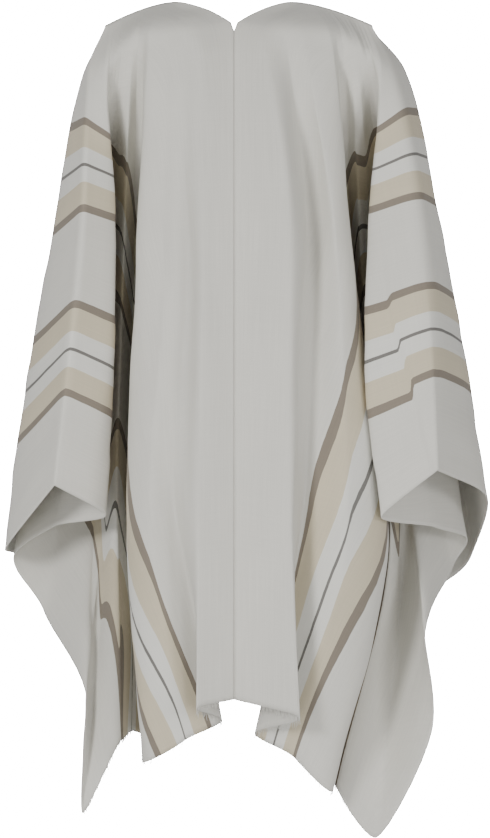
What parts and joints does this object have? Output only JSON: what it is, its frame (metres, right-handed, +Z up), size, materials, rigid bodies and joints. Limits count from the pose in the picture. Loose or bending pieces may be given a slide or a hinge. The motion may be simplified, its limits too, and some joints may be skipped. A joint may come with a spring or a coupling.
{
  "type": "poncho, worn form with no wearer",
  "caption": "Off-white handwoven poncho of two striped panels with a V neck, draped as worn, with tan and brown bands and short fringed hems.",
  "frame": {"origin": "middle of the neck opening, at the height of the shoulders beside the neck, where the wearer carries it", "axes": "+Z up, -Y towards the back of the garment, +X towards the panel on the right seen from behind"},
  "size_m": [0.6344, 0.3739, 1.0822],
  "materials": {
    "cloth": "matt",
    "fringe": "matt"
  },
  "bodies": {
    "root": {"panel_left": "cloth", "panel_right": "cloth", "fringe_back_left": "fringe", "fringe_back_right": "fringe", "fringe_front_left": "fringe", "fringe_front_right": "fringe"}
  },
  "joints": []
}
